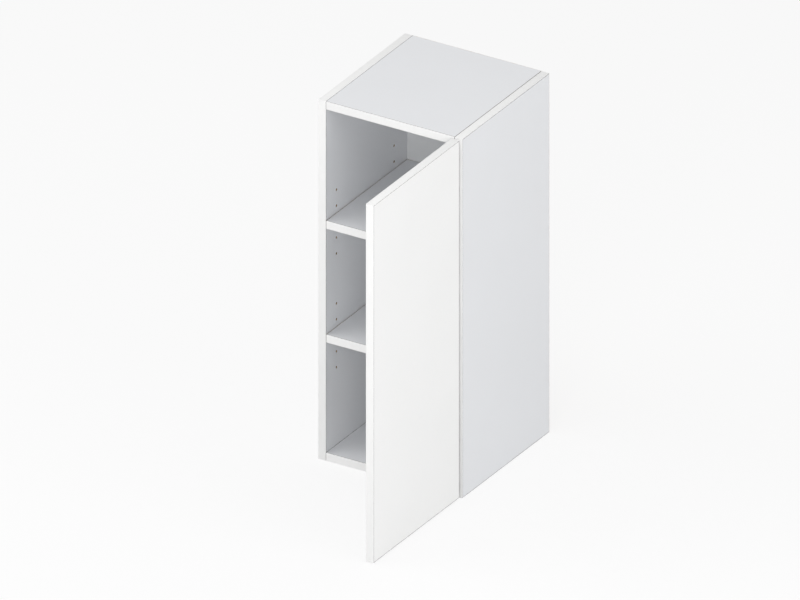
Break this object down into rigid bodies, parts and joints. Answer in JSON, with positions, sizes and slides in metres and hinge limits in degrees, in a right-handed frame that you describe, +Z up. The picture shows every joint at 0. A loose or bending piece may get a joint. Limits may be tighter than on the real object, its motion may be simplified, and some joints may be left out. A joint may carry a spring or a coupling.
{
  "type": "kitchen wall cabinet",
  "caption": "Narrow kitchen wall cabinet with one full overlay door on concealed hinges, two loose shelves and hanging brackets on a wall rail.",
  "frame": {"origin": "on the wall plane, midway between the side panels, level with the underside of the cabinet", "axes": "+X to the right seen from the front, +Y towards the wall, +Z up; the door front faces -Y when closed"},
  "size_m": [0.3, 0.6007, 0.72],
  "materials": {
    "board": "light grey melamine on chipboard",
    "edge_band": "white edge band",
    "back_board": "white faced hardboard, raw brown behind",
    "door_board": "smooth white door face",
    "door_edge": "white door edge band",
    "bumper": "soft clear plastic",
    "beech": "raw beech",
    "zinc": "cast zinc",
    "plated_steel": "bright zinc plate",
    "cap": "light grey plastic",
    "galvanised_steel": "galvanised",
    "hanger_plastic": "white plastic",
    "nickel": "nickel plate",
    "spring_steel": "spring steel"
  },
  "bodies": {
    "carcass": {"left_side_panel": "board", "right_side_panel": "board", "top_panel": "board", "bottom_panel": "board", "left_side_edge_bands": "edge_band", "right_side_edge_bands": "edge_band", "top_panel_edge_band": "edge_band", "bottom_panel_edge_band": "edge_band", "back_panel": "back_board", "dowels": "beech", "cam_discs": "zinc", "cam_bolts": "plated_steel", "upper_shelf_pins": "plated_steel", "lower_shelf_pins": "plated_steel", "hanger_plug_screws": "plated_steel", "mounting_plate_screws": "plated_steel", "cam_caps": "cap", "wall_rail": "galvanised_steel", "left_hanger_hook": "galvanised_steel", "right_hanger_hook": "galvanised_steel", "left_hanger_case": "hanger_plastic", "left_hanger_cover": "hanger_plastic", "left_hanger_height_screw": "plated_steel", "left_hanger_depth_screw": "plated_steel", "right_hanger_case": "hanger_plastic", "right_hanger_cover": "hanger_plastic", "right_hanger_height_screw": "plated_steel", "right_hanger_depth_screw": "plated_steel", "upper_hinge_mounting_plate": "nickel", "upper_hinge_arm": "nickel", "upper_hinge_side_screw": "plated_steel", "upper_hinge_depth_screw": "plated_steel", "upper_hinge_arm_pins": "plated_steel", "upper_hinge_spring": "spring_steel", "lower_hinge_mounting_plate": "nickel", "lower_hinge_arm": "nickel", "lower_hinge_side_screw": "plated_steel", "lower_hinge_depth_screw": "plated_steel", "lower_hinge_arm_pins": "plated_steel", "lower_hinge_spring": "spring_steel"},
    "outer_links": {"upper_hinge_outer_link": "nickel", "lower_hinge_outer_link": "nickel"},
    "inner_links": {"upper_hinge_inner_link": "nickel", "lower_hinge_inner_link": "nickel"},
    "door": {"door_panel": "door_board", "door_edge_bands": "door_edge", "door_bumpers": "bumper", "cup_screws": "plated_steel", "upper_hinge_cup": "nickel", "upper_hinge_cup_pins": "plated_steel", "lower_hinge_cup": "nickel", "lower_hinge_cup_pins": "plated_steel"},
    "upper_shelf": {"upper_shelf": "board", "upper_shelf_edge_band": "edge_band"},
    "lower_shelf": {"lower_shelf": "board", "lower_shelf_edge_band": "edge_band"}
  },
  "joints": [
    {"name": "outer_link_swing", "type": "hinge", "parent": "carcass", "child": "outer_links", "pos_m": [0.11708, -0.28007, 0.36], "axis": [0, 0, 1], "range_deg": [-3.95, 17.6]},
    {"name": "inner_link_swing", "type": "hinge", "parent": "carcass", "child": "inner_links", "pos_m": [0.11431, -0.28894, 0.36], "axis": [0, 0, 1], "range_deg": [-1.6, 7.1]},
    {"name": "door_swing", "type": "hinge", "parent": "outer_links", "child": "door", "pos_m": [0.13279, -0.31083, 0.36], "axis": [0, 0, 1], "range_deg": [-107.55, 23.9]},
    {"name": "upper_shelf_lift", "type": "slide", "parent": "carcass", "child": "upper_shelf", "axis": [0, 0, 1], "range_m": [0, 0.064]},
    {"name": "lower_shelf_lift", "type": "slide", "parent": "carcass", "child": "lower_shelf", "axis": [0, 0, 1], "range_m": [0, 0.064]}
  ],
  "couplings": [
    {"joint": "outer_link_swing", "follows": "door_swing", "ratio": -0.16318},
    {"joint": "inner_link_swing", "follows": "door_swing", "ratio": -0.065272}
  ]
}
